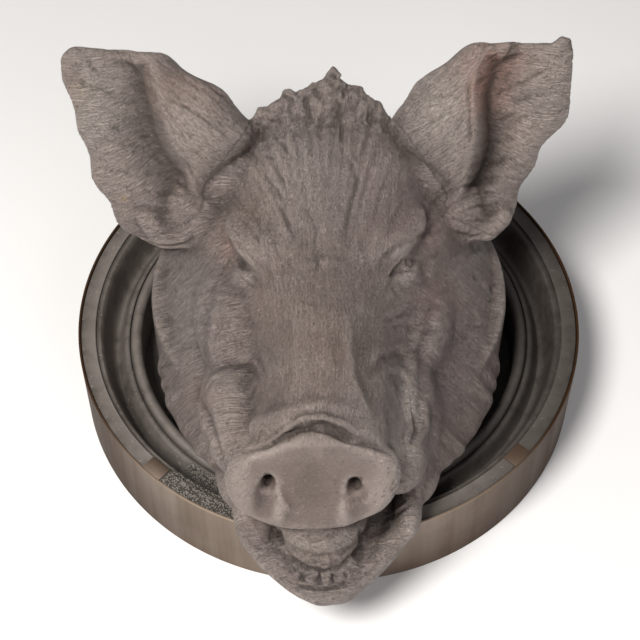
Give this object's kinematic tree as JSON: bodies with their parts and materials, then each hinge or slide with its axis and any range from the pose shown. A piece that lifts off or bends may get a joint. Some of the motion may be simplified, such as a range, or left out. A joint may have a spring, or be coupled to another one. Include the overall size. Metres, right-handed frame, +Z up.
{
  "type": "sculpted boar head on a round plinth",
  "caption": "Terracotta boar's head with raised ears and open mouth, standing in the well of a round moulded plinth that has a bronze band round its side",
  "frame": {"origin": "centre of the plinth's flat underside", "axes": "+Z up out of the plinth, -Y the way the snout points, +X to the right of someone who looks at the face"},
  "size_m": [0.4, 0.4494, 0.3004],
  "materials": {
    "terracotta": null,
    "dark_terracotta": null,
    "bronze": "bronze with a dark brown patina"
  },
  "bodies": {
    "root": {"boar_head": "terracotta", "plinth": "dark_terracotta", "bronze_band": "bronze"}
  },
  "joints": []
}
